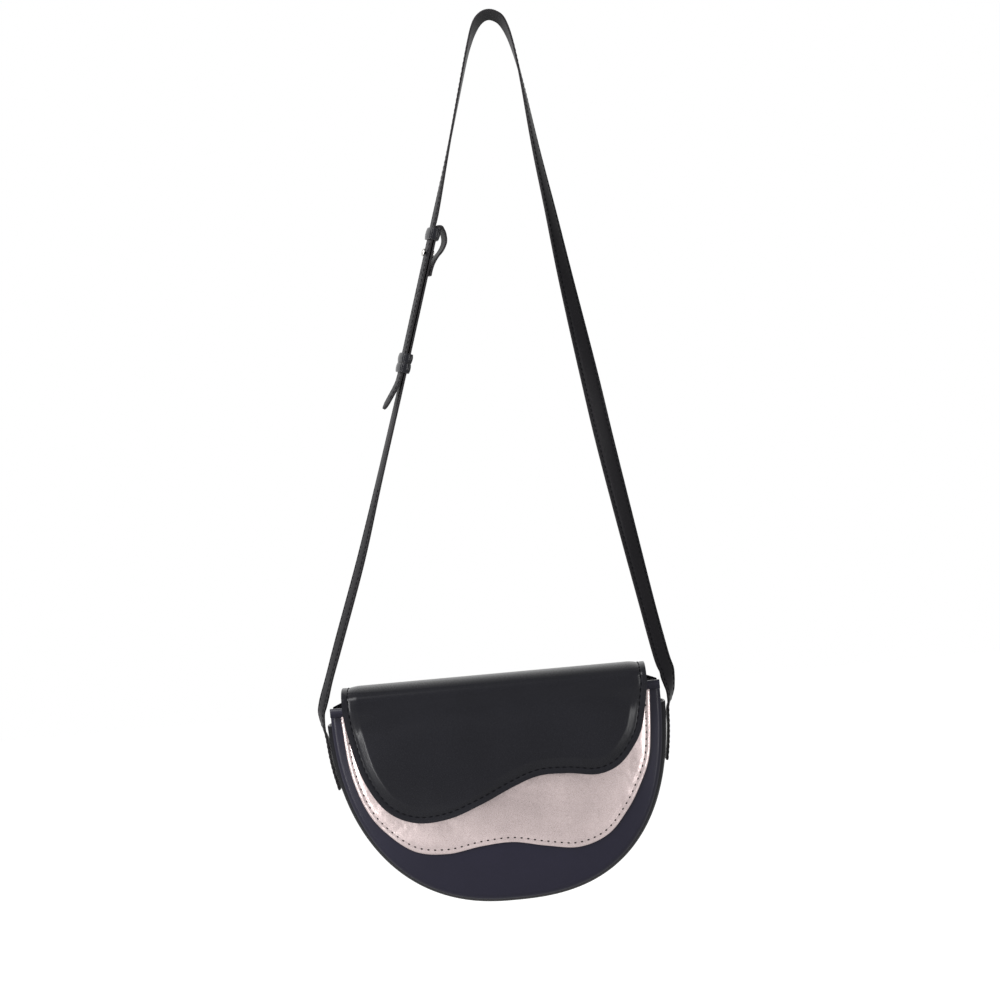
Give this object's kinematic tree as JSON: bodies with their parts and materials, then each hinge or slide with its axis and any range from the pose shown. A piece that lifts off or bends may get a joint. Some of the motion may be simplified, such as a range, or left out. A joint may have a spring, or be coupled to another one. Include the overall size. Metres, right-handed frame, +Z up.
{
  "type": "crossbody bag",
  "caption": "Half-moon crossbody bag with a wavy padded flap over a wavy metallic panel, an inner lined bag, a magnetic snap and a long strap with a stud adjuster and keepers.",
  "frame": {"origin": "the hang point, on the underside of the top of the strap, in the middle of its width", "axes": "+Z up along the hanging strap, +X to the viewer's right across the bag, +Y to the back through the bag's depth, so the flap faces -Y"},
  "size_m": [0.2478, 0.0691, 0.6085],
  "materials": {
    "black_leather": "soft pebbled satin",
    "navy_leather": "soft pebbled satin",
    "metallic_leather": "metallic foil with fine grain",
    "lining_cloth": "plain woven",
    "foam": "soft padding",
    "bright_metal": "polished"
  },
  "bodies": {
    "strap_body": {"long_strap": "black_leather", "short_strap": "black_leather", "loop_keeper": "black_leather", "strap_stud": "bright_metal", "stud_screw": "bright_metal"},
    "lower_keeper_slider": {"lower_keeper": "black_leather"},
    "upper_keeper_slider": {"upper_keeper": "black_leather"},
    "bag_body": {"front_panel": "navy_leather", "wave_panel": "metallic_leather", "back_panel": "navy_leather", "gusset": "black_leather", "front_lining": "lining_cloth", "back_lining": "lining_cloth", "gusset_lining": "lining_cloth", "front_binding": "navy_leather", "flap_yoke": "black_leather", "snap_socket": "bright_metal", "snap_socket_washer": "bright_metal"},
    "flap_over": {"flap_bend": "black_leather", "flap_bend_lining": "lining_cloth"},
    "flap_face": {"flap_front": "black_leather", "flap_lining": "lining_cloth", "flap_pad": "foam", "snap_stud": "bright_metal", "snap_stud_washer": "bright_metal"}
  },
  "joints": [
    {"name": "bag_swing", "type": "hinge", "parent": "strap_body", "child": "bag_body", "pos_m": [-0.0375, 0, -0.484], "axis": [1, 0, 0], "range_deg": [-60, 60]},
    {"name": "flap_back_fold", "type": "hinge", "parent": "bag_body", "child": "flap_over", "pos_m": [-0.0375, 0.01747, -0.4599], "axis": [-1, 0, 0], "range_deg": [0, 30]},
    {"name": "flap_front_fold", "type": "hinge", "parent": "flap_over", "child": "flap_face", "pos_m": [-0.0375, -0.0274, -0.4599], "axis": [-1, 0, 0], "range_deg": [0, 120]},
    {"name": "lower_keeper_slide", "type": "slide", "parent": "strap_body", "child": "lower_keeper_slider", "axis": [0.3032, 0, 0.9529], "range_m": [-0.003, 0]},
    {"name": "upper_keeper_slide", "type": "slide", "parent": "strap_body", "child": "upper_keeper_slider", "axis": [0.3032, 0, 0.9529], "range_m": [0, 0.012]}
  ]
}
